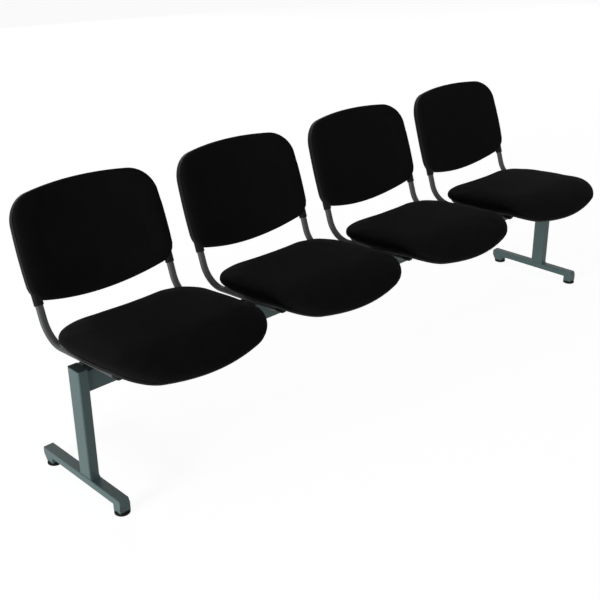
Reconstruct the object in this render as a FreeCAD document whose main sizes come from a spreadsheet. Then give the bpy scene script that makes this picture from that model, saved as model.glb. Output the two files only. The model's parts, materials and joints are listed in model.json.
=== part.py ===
"""Beam seating: upholstered places on one steel beam between two T legs.

Every length is in millimetres. While it is built the bench stands with its
beam's centre plane on y = 0 and its glides on z = 0; x runs along the row and
the sitters face -y. At the end the row moves along y until its origin is at
the middle of its footprint.
"""
import FreeCAD, Part
import math
import os
import Sketcher
from FreeCAD import Placement, Rotation, Vector

# Driving dimensions
SIZES = {
    # row
    "places": 4,
    "seat_pitch": 544.0,
    # beam, a rectangular steel tube
    "beam_top": 359.0,
    "beam_height": 60.0,
    "beam_depth": 40.0,
    "beam_wall": 2.0,
    "beam_corner": 3.0,
    # legs, a column welded on a foot bar
    "leg_overhang": 242.0,
    "column_top": 365.0,
    "column_width": 30.0,
    "column_depth": 50.0,
    "column_wall": 2.0,
    "column_corner": 4.0,
    "column_cap_height": 2.5,
    "column_cap_plug": 12.0,
    "foot_top": 46.5,
    "foot_height": 20.0,
    "foot_width": 32.0,
    "foot_wall": 2.5,
    "foot_corner": 3.0,
    "foot_front": 158.0,
    "foot_rear": 208.0,
    "foot_nose": 9.0,
    "boss_bottom": 8.8,
    "boss_length": 30.0,
    "rear_boss_setback": 11.0,
    # stub that joins the beam to a column
    "stub_length": 60.0,
    "stub_wall": 3.0,
    "stub_clearance": 0.1,
    "leg_screw_inset": 20.0,
    "leg_screw_pitch": 24.0,
    # levelling glides
    "glide_diameter": 42.0,
    "glide_height": 8.5,
    "glide_edge": 1.5,
    "stud_diameter": 8.0,
    "stud_length": 30.0,
    "stud_foot_diameter": 16.0,
    "stud_foot_height": 3.4,
    "stud_foot_floor": 3.0,
    "running_clearance": 0.05,
    # seat frame, flat oval tube
    "tube_spacing": 430.0,
    "tube_width": 22.0,
    "tube_thickness": 15.0,
    "tube_wall": 1.5,
    "run_front": 131.0,
    "bend_start": 115.0,
    "bend_radius": 82.0,
    "upright_length": 45.0,
    "tube_insert": 62.0,
    "seat_slope": 3.4,
    "back_angle": 104.6,
    "tip_length": 24.0,
    "tip_round": 5.5,
    "tip_plug": 12.0,
    # cross members under each seat
    "bar_width": 20.0,
    "bar_wall": 1.5,
    "front_bar_y": -90.0,
    "rear_bar_y": 62.0,
    "bearer_front": 2.0,
    "bearer_height": 7.3,
    "saddle_offset": 130.0,
    "saddle_width": 50.0,
    "saddle_thickness": 3.0,
    "saddle_flange": 30.0,
    "saddle_bolt_drop": 16.0,
    # seat, on the plane of the tube tops
    "seat_half_front": 228.0,
    "seat_half_rear": 222.0,
    "seat_front": 229.0,
    "seat_rear": 168.0,
    "seat_bow_front": 39.0,
    "seat_bow_side": 21.0,
    "seat_bow_rear": 17.0,
    "seat_corner_front": 114.0,
    "seat_corner_rear": 120.0,
    "seat_flat_front": 135.0,
    "seat_bend_radius": 195.0,
    "pan_lift": 1.0,
    "pan_inset": 4.0,
    "pan_height": 14.0,
    "pan_wall": 3.0,
    "pan_round": 11.0,
    "seat_board_gap": 0.5,
    "seat_cushion_height": 36.0,
    "seat_cushion_crown": 7.0,
    "seat_cushion_tuck": 7.0,
    "seat_cushion_round": 20.0,
    "seat_screw_x": 120.0,
    # back, on the curved surface through the tubes
    "back_half_bottom": 231.0,
    "back_half_top": 223.0,
    "back_bottom": 10.0,
    "back_top": 273.0,
    "back_bow_bottom": 33.0,
    "back_bow_top": 25.0,
    "back_bow_side": 6.0,
    "back_corner_bottom": 53.0,
    "back_corner_top": 86.0,
    "back_curve_radius": 860.0,
    "back_curve_depth": 28.0,
    "shell_depth": 16.0,
    "shell_lip": 6.0,
    "shell_wall": 3.0,
    "shell_ledge": 6.0,
    "shell_round": 10.0,
    "back_board_thickness": 8.0,
    "back_board_gap": 0.3,
    "back_cushion_edge": 16.0,
    "back_cushion_crown": 8.0,
    "back_cushion_round": 14.0,
    "back_cushion_inset": 1.0,
    "socket_wall": 2.5,
    "socket_fit": 0.1,
    "socket_drop": 7.0,
    "pocket_clearance": 0.6,
    "back_screw_rise": 40.0,
    "back_screw_seat": 16.0,
    # fasteners
    "bolt_diameter": 8.0,
    "bolt_head_width": 13.0,
    "bolt_head_height": 5.3,
    "bolt_clearance": 0.4,
    "screw_diameter": 6.0,
    "screw_head_diameter": 12.0,
    "screw_head_height": 3.5,
    "screw_bite": 9.0,
    "screw_clearance": 0.2,
    "back_screw_diameter": 5.0,
    "back_screw_head_diameter": 10.0,
    "back_screw_head_height": 2.5,
}

doc = FreeCAD.newDocument("beam_seating")
sheet = doc.addObject("Spreadsheet::Sheet", "dims")
for line, (alias, number) in enumerate(SIZES.items(), start=1):
    sheet.set(f"A{line}", alias)
    sheet.set(f"B{line}", str(number))
    sheet.setAlias(f"B{line}", alias)
doc.recompute()


def size(alias):
    """Value of one cell of the sheet."""
    return float(getattr(sheet, alias))


def value(expression):
    """Number that an expression over the sheet gives."""
    return float(sheet.evalExpression(expression))


nodes = []


def keep(thing, label, place=None):
    """Names a finished sub-part and puts it in its place."""
    thing.Label = label
    if place is not None:
        thing.Placement = place
    nodes.append(thing)
    return thing


# Places that pieces share
places = int(size("places"))
# the legs stand a set distance outside the middles of the end places
LEG_X = "((dims.places - 1) / 2 * dims.seat_pitch + dims.leg_overhang)"
leg_x = value(LEG_X)
slope = math.radians(size("seat_slope"))
recline = size("back_angle") - 90.0
recline_rad = math.radians(recline)
tube_half = size("tube_width") / 2
tube_depth = size("tube_thickness")
tube_x = size("tube_spacing") / 2
beam_rear = size("beam_depth") / 2
bearer_top = size("beam_top") + size("saddle_thickness") + size("bearer_height")
# the tubes' lower flats rest on the rear edge of the bearer
rest_run = (beam_rear + tube_depth * math.sin(slope)) / math.cos(slope)
seat_plane = bearer_top + rest_run * math.sin(slope) + tube_depth * math.cos(slope)
bend_y = size("bend_start") + size("bend_radius") * math.cos(recline_rad)
bend_z = size("bend_radius") * (1 - math.sin(recline_rad)) - tube_depth / 2
back_y = bend_y + size("upright_length") * math.sin(recline_rad)
back_z = bend_z + size("upright_length") * math.cos(recline_rad)
X_AXIS = Vector(1, 0, 0)
Y_AXIS = Vector(0, 1, 0)
Z_AXIS = Vector(0, 0, 1)


def place_x(index):
    """Middle of one place along the row."""
    return (index - (places - 1) / 2) * size("seat_pitch")


def seat_frame(index):
    """Frame on the tube tops above the beam, y along the tubes to the rear."""
    return Placement(Vector(place_x(index), 0, seat_plane), Rotation(X_AXIS, -size("seat_slope")))


def back_frame(index):
    """Frame at the tubes' way into the back, z up the back and y to its rear."""
    local = Placement(Vector(0, back_y, back_z), Rotation(X_AXIS, -recline))
    return seat_frame(index).multiply(local)


# Sketches
def plane(body, role):
    """One of a body's own origin planes."""
    return next(item for item in body.Origin.OriginFeatures if item.Role == role)


def new_sketch(body, name, role, offset=0.0):
    """Empty sketch on an origin plane, moved along its normal by offset."""
    sketch = body.newObject("Sketcher::SketchObject", name)
    sketch.AttachmentSupport = (plane(body, role), [""])
    sketch.MapMode = "FlatFace"
    sketch.AttachmentOffset = Placement(Vector(0, 0, offset), Rotation())
    return sketch


def fix_point(sketch, geometry, point, x_expression, y_expression):
    """Ties one point of the sketch to two expressions over the sheet."""
    for kind, expression in (("DistanceX", x_expression), ("DistanceY", y_expression)):
        datum = value(expression)
        index = sketch.addConstraint(Sketcher.Constraint(kind, -1, 1, geometry, point, datum))
        sketch.setExpression(f"Constraints[{index}]", expression)


def polygon(sketch, corners):
    """Closed polygon whose corners are pairs of expressions."""
    points = [Vector(value(x), value(y), 0) for x, y in corners]
    first = sketch.GeometryCount
    count = len(points)
    for index in range(count):
        sketch.addGeometry(Part.LineSegment(points[index], points[(index + 1) % count]), False)
    for index in range(count):
        following = first + (index + 1) % count
        sketch.addConstraint(Sketcher.Constraint("Coincident", first + index, 2, following, 1))
    for index, (x, y) in enumerate(corners):
        fix_point(sketch, first + index, 1, x, y)


def slot(sketch, width, thickness, middle):
    """Flat oval, long along the sketch's x, its middle at a height."""
    reach = f"({width} - {thickness}) / 2"
    radius = value(f"({thickness}) / 2")
    half = value(reach)
    height = value(middle)
    first = sketch.GeometryCount
    quarter = math.pi / 2
    right = Part.Circle(Vector(half, height, 0), Z_AXIS, radius)
    left = Part.Circle(Vector(-half, height, 0), Z_AXIS, radius)
    top = Vector(0, radius, 0)
    sketch.addGeometry(Part.ArcOfCircle(right, -quarter, quarter), False)
    sketch.addGeometry(Part.LineSegment(right.Center + top, left.Center + top), False)
    sketch.addGeometry(Part.ArcOfCircle(left, quarter, 3 * quarter), False)
    sketch.addGeometry(Part.LineSegment(left.Center - top, right.Center - top), False)
    for index in range(4):
        joined = (first + index, 2, first + (index + 1) % 4, 1)
        sketch.addConstraint(Sketcher.Constraint("Tangent", *joined))
    fix_point(sketch, first, 3, reach, middle)
    fix_point(sketch, first + 2, 3, f"-({reach})", middle)
    index = sketch.addConstraint(Sketcher.Constraint("Radius", first, radius))
    sketch.setExpression(f"Constraints[{index}]", f"({thickness}) / 2")


# Solids
def prism(name, role, corners, length, hollow=None):
    """Body padded both ways from a polygon, with an optional polygon hole."""
    body = doc.addObject("PartDesign::Body", name)
    sketch = new_sketch(body, name + "_outline", role)
    polygon(sketch, corners)
    if hollow:
        polygon(sketch, hollow)
    pad = body.newObject("PartDesign::Pad", name + "_pad")
    pad.Profile = sketch
    pad.SideType = "Symmetric"
    pad.setExpression("Length", length)
    doc.recompute()
    return body


def rectangle(width, height, bottom, inset="0"):
    """Corners of a rectangle about the sketch's y axis, drawn in by inset."""
    right = f"({width}) / 2 - ({inset})"
    low = f"{bottom} + ({inset})"
    high = f"{bottom} + {height} - ({inset})"
    return [(f"-({right})", low), (right, low), (right, high), (f"-({right})", high)]


def long_edges(shape, direction):
    """Names of the straight edges along a direction that lie on the outside."""
    box = shape.BoundBox
    found = []
    for index, edge in enumerate(shape.Edges, start=1):
        if edge.Curve.TypeId != "Part::GeomLine":
            continue
        if abs(abs(edge.tangentAt(edge.FirstParameter).dot(direction)) - 1) > 1e-6:
            continue
        at = edge.CenterOfMass
        off = [abs(at.y - box.YMin), abs(at.y - box.YMax)]
        other = [abs(at.z - box.ZMin), abs(at.z - box.ZMax)]
        if direction.z:
            other = [abs(at.x - box.XMin), abs(at.x - box.XMax)]
        if min(off) < 1e-6 and min(other) < 1e-6:
            found.append(f"Edge{index}")
    return found


def round_edges(body, names, radius):
    """Fillet on named edges of a body's tip."""
    base = body.Tip
    fillet = body.newObject("PartDesign::Fillet", body.Name + "_round")
    fillet.Base = (base, names)
    fillet.setExpression("Radius", radius)
    doc.recompute()
    return body


def turned(name, corners):
    """Body turned about its z axis from corners given as radius and height."""
    body = doc.addObject("PartDesign::Body", name)
    sketch = new_sketch(body, name + "_section", "XZ_Plane")
    polygon(sketch, corners)
    turn = body.newObject("PartDesign::Revolution", name + "_turn")
    turn.Profile = sketch
    turn.ReferenceAxis = (sketch, ["V_Axis"])
    turn.Angle = 360.0
    doc.recompute()
    return body


def cylinder(name, diameter, length, place):
    """Cylinder from the origin of its place along that place's z."""
    pin = doc.addObject("Part::Cylinder", name)
    pin.setExpression("Radius", f"({diameter}) / 2")
    pin.setExpression("Height", length)
    pin.Placement = place
    return pin


def group(name, members):
    """Several separate solids as one object."""
    if len(members) == 1:
        return members[0]
    bundle = doc.addObject("Part::Compound", name)
    bundle.Links = members
    return bundle


def cut(name, base, tool):
    """Base with the tool taken away."""
    result = doc.addObject("Part::Cut", name)
    result.Base = base
    result.Tool = tool
    return result


def fuse(name, parts):
    """Parts joined to one solid."""
    result = doc.addObject("Part::MultiFuse", name)
    result.Shapes = parts
    result.Refine = True
    return result


def solid(name, shape):
    """Object that holds a shape made with Part's own functions."""
    thing = doc.addObject("Part::Feature", name)
    thing.Shape = shape
    return thing


# Rounded outlines of seat and back
def crossing(first, second, near):
    """Point where two circles, each a centre and a radius, cross near a point."""
    (centre_a, radius_a), (centre_b, radius_b) = first, second
    apart = centre_b - centre_a
    along = (radius_a ** 2 - radius_b ** 2 + apart.Length ** 2) / (2 * apart.Length)
    aside = math.sqrt(radius_a ** 2 - along ** 2)
    unit = apart / apart.Length
    normal = Vector(-unit.y, unit.x, 0)
    foot = centre_a + unit * along
    return min((foot + normal * aside, foot - normal * aside), key=lambda p: (p - near).Length)


def bowed_side(start, end, bow):
    """Centre, radius and sign of the circle through two points, bowed outwards."""
    chord = end - start
    outwards = Vector(chord.y, -chord.x, 0) / chord.Length
    radius = (chord.Length ** 2 / 4 + bow ** 2) / (2 * abs(bow))
    sign = math.copysign(1, bow)
    centre = (start + end) / 2 + outwards * (bow - sign * radius)
    return centre, radius, sign


def arc_outline(half_low, half_high, low, high, bow_low, bow_side, bow_high, corner_low, corner_high):
    """Four bowed sides joined by tangent corner arcs, as start, middle and end of eight arcs."""
    corners = [Vector(-half_low, low, 0), Vector(half_low, low, 0),
               Vector(half_high, high, 0), Vector(-half_high, high, 0)]
    bows = [bow_low, bow_side, bow_high, bow_side]
    radii = [corner_low, corner_high, corner_high, corner_low]
    sides = [bowed_side(corners[i], corners[(i + 1) % 4], bows[i]) for i in range(4)]
    rounds = []
    for i in range(4):
        centre_a, radius_a, sign_a = sides[i]
        centre_b, radius_b, sign_b = sides[(i + 1) % 4]
        radius = radii[i]
        middle = crossing((centre_a, radius_a - sign_a * radius),
                          (centre_b, radius_b - sign_b * radius), corners[(i + 1) % 4])
        start = centre_a + (middle - centre_a).normalize() * radius_a
        end = centre_b + (middle - centre_b).normalize() * radius_b
        through = middle + ((start + end) / 2 - middle).normalize() * radius
        rounds.append((start, through, end))
    arcs = []
    for i in range(4):
        centre, radius, _ = sides[i]
        start, end = rounds[i - 1][2], rounds[i][0]
        through = centre + ((start + end) / 2 - centre).normalize() * radius
        arcs.append((start, through, end))
        arcs.append(rounds[i])
    return arcs


def wire(arcs, at):
    """Closed wire of the arcs, each point taken to space by a function."""
    edges = [Part.Arc(at(start), at(middle), at(end)).toShape() for start, middle, end in arcs]
    return Part.Wire(edges)


def seat_prism(inset):
    """The seat's outline as a thick block, to be cut by bent surfaces."""
    arcs = arc_outline(
        size("seat_half_front") - inset, size("seat_half_rear") - inset,
        inset - size("seat_front"), size("seat_rear") - inset,
        size("seat_bow_front"), size("seat_bow_side"), -size("seat_bow_rear"),
        size("seat_corner_front") - inset, size("seat_corner_rear") - inset)
    reach = size("seat_bend_radius")
    outline = wire(arcs, lambda point: Vector(point.x, point.y, -reach))
    return Part.Face(outline).extrude(Vector(0, 0, 2 * reach))


def seat_slab(low, high, crown=0.0):
    """Slab that lies flat on the tubes and bends down ahead of them, between two heights.

    A crown lets its upper face fall away towards the sides.
    """
    radius = size("seat_bend_radius")
    centre = Vector(0, -size("seat_flat_front"), -radius)
    rear = size("seat_rear") + 2 * size("seat_bow_rear")
    reach = size("seat_half_front") + 2 * size("seat_bow_side")
    middle, last = math.radians(30), math.radians(60)

    def bent(height, angle):
        return centre + Vector(0, -math.sin(angle), math.cos(angle)) * (radius + height)

    profile = Part.Wire([
        Part.LineSegment(Vector(0, rear, low), Vector(0, rear, high)).toShape(),
        Part.LineSegment(Vector(0, rear, high), bent(high, 0)).toShape(),
        Part.Arc(bent(high, 0), bent(high, middle), bent(high, last)).toShape(),
        Part.LineSegment(bent(high, last), bent(low, last)).toShape(),
        Part.Arc(bent(low, last), bent(low, middle), bent(low, 0)).toShape(),
        Part.LineSegment(bent(low, 0), Vector(0, rear, low)).toShape()])
    face = Part.Face(profile)
    if not crown:
        face.translate(Vector(-reach, 0, 0))
        return face.extrude(Vector(2 * reach, 0, 0))
    crown_radius = reach ** 2 / (2 * crown)
    axis = Vector(0, 0, high - crown_radius)
    half_angle = math.degrees(1.1 * reach / crown_radius)
    face.rotate(axis, Y_AXIS, -half_angle)
    return face.revolve(axis, Y_AXIS, 2 * half_angle)


def seat_height(point):
    """Height of a point over the bent plane that the pan lies on."""
    ahead = -size("seat_flat_front") - point.y
    if ahead < 0:
        return point.z
    return math.hypot(ahead, point.z + size("seat_bend_radius")) - size("seat_bend_radius")


def edges_where(shape, keeps):
    """Edges whose start, middle and end all pass a test."""
    found = []
    for edge in shape.Edges:
        first, last = edge.ParameterRange
        points = [edge.valueAt(first), edge.valueAt((first + last) / 2), edge.valueAt(last)]
        if all(keeps(point) for point in points):
            found.append(edge)
    return found


def back_prism(inset):
    """The back's outline as a thick block, to be cut by curved surfaces."""
    arcs = arc_outline(
        size("back_half_bottom") - inset, size("back_half_top") - inset,
        size("back_bottom") + inset, size("back_top") - inset,
        size("back_bow_bottom"), size("back_bow_side"), size("back_bow_top"),
        size("back_corner_bottom") - inset, size("back_corner_top") - inset)
    reach = 2 * (size("back_curve_depth") + size("shell_depth"))
    outline = wire(arcs, lambda point: Vector(point.x, -reach, point.y))
    return Part.Face(outline).extrude(Vector(0, 2 * reach, 0))


def curved_slab(rear, front, crown=0.0):
    """Slab bent about an upright axis before the back, between two depths.

    Depths are measured forwards from the back's curved middle surface. A
    crown bows the front face out in its upright direction as well.
    """
    axis_y = size("back_curve_depth") - size("back_curve_radius")
    low = size("back_bottom") - 2 * size("back_bow_bottom")
    high = size("back_top") + 2 * size("back_bow_top")
    rear_y = size("back_curve_depth") - rear
    front_y = size("back_curve_depth") - front
    rear_low, rear_high = Vector(0, rear_y, low), Vector(0, rear_y, high)
    front_low, front_high = Vector(0, front_y, low), Vector(0, front_y, high)
    middle = Vector(0, front_y - crown, (low + high) / 2)
    face_edge = Part.Arc(front_high, middle, front_low) if crown else Part.LineSegment(front_high, front_low)
    profile = Part.Wire([
        Part.LineSegment(rear_low, rear_high).toShape(),
        Part.LineSegment(rear_high, front_high).toShape(),
        face_edge.toShape(),
        Part.LineSegment(front_low, rear_low).toShape()])
    axis = Vector(0, axis_y, 0)
    half_angle = 30.0
    face = Part.Face(profile)
    face.rotate(axis, Z_AXIS, -half_angle)
    return face.revolve(axis, Z_AXIS, 2 * half_angle)


def back_radius(point):
    """Distance of a point from the back's upright bending axis."""
    return math.hypot(point.x, point.y - size("back_curve_depth") + size("back_curve_radius"))


# Beam
def hex_bolt(name, length, place):
    """Hexagon bolt, its head's seat at the place and its shank along z."""
    head = doc.addObject("Part::Prism", name + "_head")
    head.Polygon = 6
    head.setExpression("Circumradius", "dims.bolt_head_width / sqrt(3)")
    head.setExpression("Height", "dims.bolt_head_height")
    head.setExpression("Placement.Base.z", "-dims.bolt_head_height")
    shank = cylinder(name + "_shank", "dims.bolt_diameter", length, Placement())
    bolt = fuse(name, [head, shank])
    bolt.Placement = place
    return bolt


def saddle_xs():
    """Where the saddles sit along the row."""
    offset = size("saddle_offset")
    return [place_x(index) + side * offset for index in range(places) for side in (-1, 1)]


def leg_screw_places():
    """Seats of the screws that hold the beam on the stubs, on the beam's rear face."""
    inner = leg_x - size("column_width") / 2
    height = size("beam_top") - size("beam_height") / 2
    turned_forward = Rotation(X_AXIS, 90)
    found = []
    for side in (-1, 1):
        for step in (0, 1):
            x = side * (inner - size("leg_screw_inset") - step * size("leg_screw_pitch"))
            found.append(Placement(Vector(x, beam_rear, height), turned_forward))
    return found


def make_beam():
    """Rectangular tube drilled for the saddle bolts and the leg screws."""
    bottom = "dims.beam_top - dims.beam_height"
    outer = rectangle("dims.beam_depth", "dims.beam_height", bottom)
    inner = rectangle("dims.beam_depth", "dims.beam_height", bottom, "dims.beam_wall")
    tube = prism("beam_tube", "YZ_Plane", outer, f"2 * {LEG_X} - dims.column_width", inner)
    round_edges(tube, long_edges(tube.Shape, X_AXIS), "dims.beam_corner")
    hole = "dims.bolt_diameter + dims.bolt_clearance"
    height = size("beam_top") - size("saddle_bolt_drop")
    drills = []
    for x in saddle_xs():
        place = Placement(Vector(x, size("beam_depth"), height), Rotation(X_AXIS, 90))
        drills.append(cylinder("beam_bolt_hole", hole, "2 * dims.beam_depth", place))
    for place in leg_screw_places():
        deep = Placement(Vector(0, size("beam_wall"), 0), Rotation()).multiply(place)
        drills.append(cylinder("beam_screw_hole", hole, "dims.beam_depth / 2", deep))
    keep(cut("beam_cut", tube, group("beam_drills", drills)), "beam")


def make_saddle_fasteners():
    """A bolt and a nut through each saddle and the beam."""
    height = size("beam_top") - size("saddle_bolt_drop")
    face = beam_rear + size("saddle_thickness")
    length = "dims.beam_depth + 2 * dims.saddle_thickness + dims.bolt_head_height * 1.6"
    members = []
    for x in saddle_xs():
        front = Placement(Vector(x, -face, height), Rotation(X_AXIS, -90))
        members.append(hex_bolt("saddle_bolt", length, front))
        nut = doc.addObject("Part::Prism", "saddle_nut_blank")
        nut.Polygon = 6
        nut.setExpression("Circumradius", "dims.bolt_head_width / sqrt(3)")
        nut.setExpression("Height", "dims.bolt_head_height * 1.2")
        bore = cylinder("saddle_nut_bore", "dims.bolt_diameter + 2 * dims.running_clearance",
                        "dims.bolt_head_height * 2", Placement())
        ring = cut("saddle_nut", nut, bore)
        ring.Placement = Placement(Vector(x, face, height), Rotation(X_AXIS, -90))
        members.append(ring)
    keep(group("saddle_fastener_set", members), "saddle_fasteners")


# Legs
def make_leg(side, label):
    """Column welded on a foot bar whose ends turn down to the glides."""
    bottom = "dims.foot_top - dims.foot_height"
    front, rear = "-dims.foot_front", "dims.foot_rear"
    front_boss = "-dims.foot_front + dims.boss_length"
    rear_boss = "dims.foot_rear - dims.rear_boss_setback"
    outline = [
        (f"{front} + dims.foot_nose / 2", "dims.foot_top"),
        (front, "dims.foot_top - dims.foot_nose"),
        (front, "dims.boss_bottom"),
        (front_boss, "dims.boss_bottom"),
        (front_boss, bottom),
        (f"{rear_boss} - dims.boss_length", bottom),
        (f"{rear_boss} - dims.boss_length", "dims.boss_bottom"),
        (rear_boss, "dims.boss_bottom"),
        (rear, bottom),
        (rear, "dims.foot_top")]
    foot = prism(label + "_foot", "YZ_Plane", outline, "dims.foot_width")
    round_edges(foot, long_foot_edges(foot.Shape), "dims.foot_corner")
    column = prism(label + "_column", "XY_Plane",
                   rectangle("dims.column_width", "dims.column_depth", "-dims.column_depth / 2"),
                   "2 * dims.column_top")
    round_edges(column, long_edges(column.Shape, Z_AXIS), "dims.column_corner")
    above = doc.addObject("Part::Box", label + "_above_foot")
    above.setExpression("Length", "2 * dims.column_width")
    above.setExpression("Width", "2 * dims.column_depth")
    above.setExpression("Height", "dims.column_top")
    above.setExpression("Placement.Base.x", "-dims.column_width")
    above.setExpression("Placement.Base.y", "-dims.column_depth")
    above.setExpression("Placement.Base.z", "dims.foot_top - dims.foot_wall")
    standing = doc.addObject("Part::Common", label + "_standing")
    standing.Base = column
    standing.Tool = above
    whole = fuse(label + "_whole", [foot, standing])
    hollows = [leg_hollow(label + "_bar_hollow", "dims.foot_width", "dims.foot_wall",
                          f"{front_boss}", f"{rear_boss} - dims.boss_length",
                          f"{bottom} + dims.foot_wall", "dims.foot_top - dims.foot_wall"),
               leg_hollow(label + "_column_hollow", "dims.column_width", "dims.column_wall",
                          "-dims.column_depth / 2 + dims.column_wall",
                          "dims.column_depth / 2 - dims.column_wall",
                          "dims.foot_top - 2 * dims.foot_wall", "2 * dims.column_top")]
    bore = "dims.stud_diameter + 2 * dims.running_clearance"
    for y in glide_ys():
        place = Placement(Vector(0, y, 0), Rotation())
        hollows.append(cylinder(label + "_thread", bore, "dims.foot_top - dims.foot_wall", place))
    leg = cut(label + "_drilled", whole, group(label + "_hollows", hollows))
    keep(leg, label, Placement(Vector(side * leg_x, 0, 0), Rotation()))


def long_foot_edges(shape):
    """Long top and bottom edges of the foot bar and the edges of its turned-down ends."""
    half = size("foot_width") / 2
    top = size("foot_top")
    found = []
    for index, edge in enumerate(shape.Edges, start=1):
        at = edge.CenterOfMass
        if abs(abs(at.x) - half) < 1e-6 and at.z > top - size("foot_nose"):
            found.append(f"Edge{index}")
    return found


def leg_hollow(name, width, wall, y_low, y_high, z_low, z_high):
    """Box that empties a tube of a leg."""
    box = doc.addObject("Part::Box", name)
    box.setExpression("Length", f"{width} - 2 * {wall}")
    box.setExpression("Width", f"({y_high}) - ({y_low})")
    box.setExpression("Height", f"({z_high}) - ({z_low})")
    box.setExpression("Placement.Base.x", f"-({width}) / 2 + {wall}")
    box.setExpression("Placement.Base.y", y_low)
    box.setExpression("Placement.Base.z", z_low)
    return box


def glide_ys():
    """Glide axes along a foot, front and rear."""
    half = size("boss_length") / 2
    return (half - size("foot_front"), size("foot_rear") - size("rear_boss_setback") - half)


def cap_half(name, bottom):
    """Block that takes away the upper or the lower half of a cap's blank."""
    box = doc.addObject("Part::Box", name)
    box.setExpression("Length", "2 * dims.column_width")
    box.setExpression("Width", "2 * dims.column_depth")
    box.setExpression("Height", "2 * dims.column_cap_plug")
    box.setExpression("Placement.Base.x", "-dims.column_width")
    box.setExpression("Placement.Base.y", "-dims.column_depth")
    box.setExpression("Placement.Base.z", bottom)
    return box


def make_column_caps():
    """Plastic plug in the top of each column."""
    members = []
    for side in (-1, 1):
        lid = prism("column_cap_lid", "XY_Plane",
                    rectangle("dims.column_width", "dims.column_depth", "-dims.column_depth / 2"),
                    "2 * dims.column_cap_height")
        round_edges(lid, long_edges(lid.Shape, Z_AXIS), "dims.column_corner")
        inset = "dims.column_wall + dims.running_clearance"
        plug = prism("column_cap_plug", "XY_Plane",
                     rectangle("dims.column_width", "dims.column_depth", "-dims.column_depth / 2", inset),
                     "2 * dims.column_cap_plug")
        upper = cut("column_cap_top", lid, cap_half("column_cap_below", "-2 * dims.column_cap_plug"))
        lower = cut("column_cap_stem", plug, cap_half("column_cap_above", "0 mm"))
        cap = fuse("column_cap", [upper, lower])
        cap.Placement = Placement(Vector(side * leg_x, 0, size("column_top")), Rotation())
        members.append(cap)
    keep(group("column_cap_set", members), "column_caps")


def make_leg_stubs():
    """Short tubes welded to the columns that carry the ends of the beam."""
    inset = "dims.beam_wall + dims.stub_clearance"
    bottom = "dims.beam_top - dims.beam_height"
    members = []
    for side in (-1, 1):
        outer = rectangle("dims.beam_depth", "dims.beam_height", bottom, inset)
        inner = rectangle("dims.beam_depth", "dims.beam_height", bottom, f"{inset} + dims.stub_wall")
        stub = prism("stub_tube", "YZ_Plane", outer, "dims.stub_length", inner)
        middle = side * (leg_x - (size("column_width") + size("stub_length")) / 2)
        stub.Placement = Placement(Vector(middle, 0, 0), Rotation())
        members.append(stub)
    hole = "dims.bolt_diameter + 2 * dims.running_clearance"
    drills = [cylinder("stub_hole", hole, "dims.beam_depth / 2", place) for place in leg_screw_places()]
    drilled = cut("stub_drilled", group("stub_pair", members), group("stub_drills", drills))
    keep(drilled, "leg_stubs")


def make_leg_screws():
    """Screws from the rear through the beam into the stubs."""
    length = "dims.beam_wall + dims.stub_clearance + dims.stub_wall * 2"
    members = [hex_bolt("leg_screw", length, place) for place in leg_screw_places()]
    keep(group("leg_screw_set", members), "leg_screws")


# Glides
def make_glides():
    """Swivelling pad and threaded stud under each end of each foot."""
    rim = "dims.glide_diameter / 2"
    neck = "dims.stud_diameter / 2"
    nest = "dims.stud_foot_diameter / 2 + dims.running_clearance"
    floor = "dims.stud_foot_floor"
    roof = "dims.stud_foot_floor + dims.stud_foot_height + 2 * dims.running_clearance"
    lift = "dims.stud_foot_floor + dims.running_clearance"
    pad_section = [
        ("0", "0"), (f"{rim} - dims.glide_edge", "0"), (rim, "dims.glide_edge"),
        (rim, "dims.glide_height - 2 * dims.glide_edge"),
        (f"{rim} - 2 * dims.glide_edge", "dims.glide_height"),
        (f"{neck} + dims.running_clearance", "dims.glide_height"),
        (f"{neck} + dims.running_clearance", roof), (nest, roof), (nest, floor), ("0", floor)]
    stud_section = [
        ("0", lift), ("dims.stud_foot_diameter / 2", lift),
        ("dims.stud_foot_diameter / 2", f"{lift} + dims.stud_foot_height"),
        (neck, f"{lift} + dims.stud_foot_height"),
        (neck, f"{lift} + dims.stud_length"), ("0", f"{lift} + dims.stud_length")]
    for side, word in ((-1, "left"), (1, "right")):
        for y, end in zip(glide_ys(), ("front", "rear")):
            place = Placement(Vector(side * leg_x, y, 0), Rotation())
            keep(turned(f"pad_{end}_{word}", pad_section), f"glide_pad_{end}_{word}", place)
            keep(turned(f"stud_{end}_{word}", stud_section), f"glide_stud_{end}_{word}", place)


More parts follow.
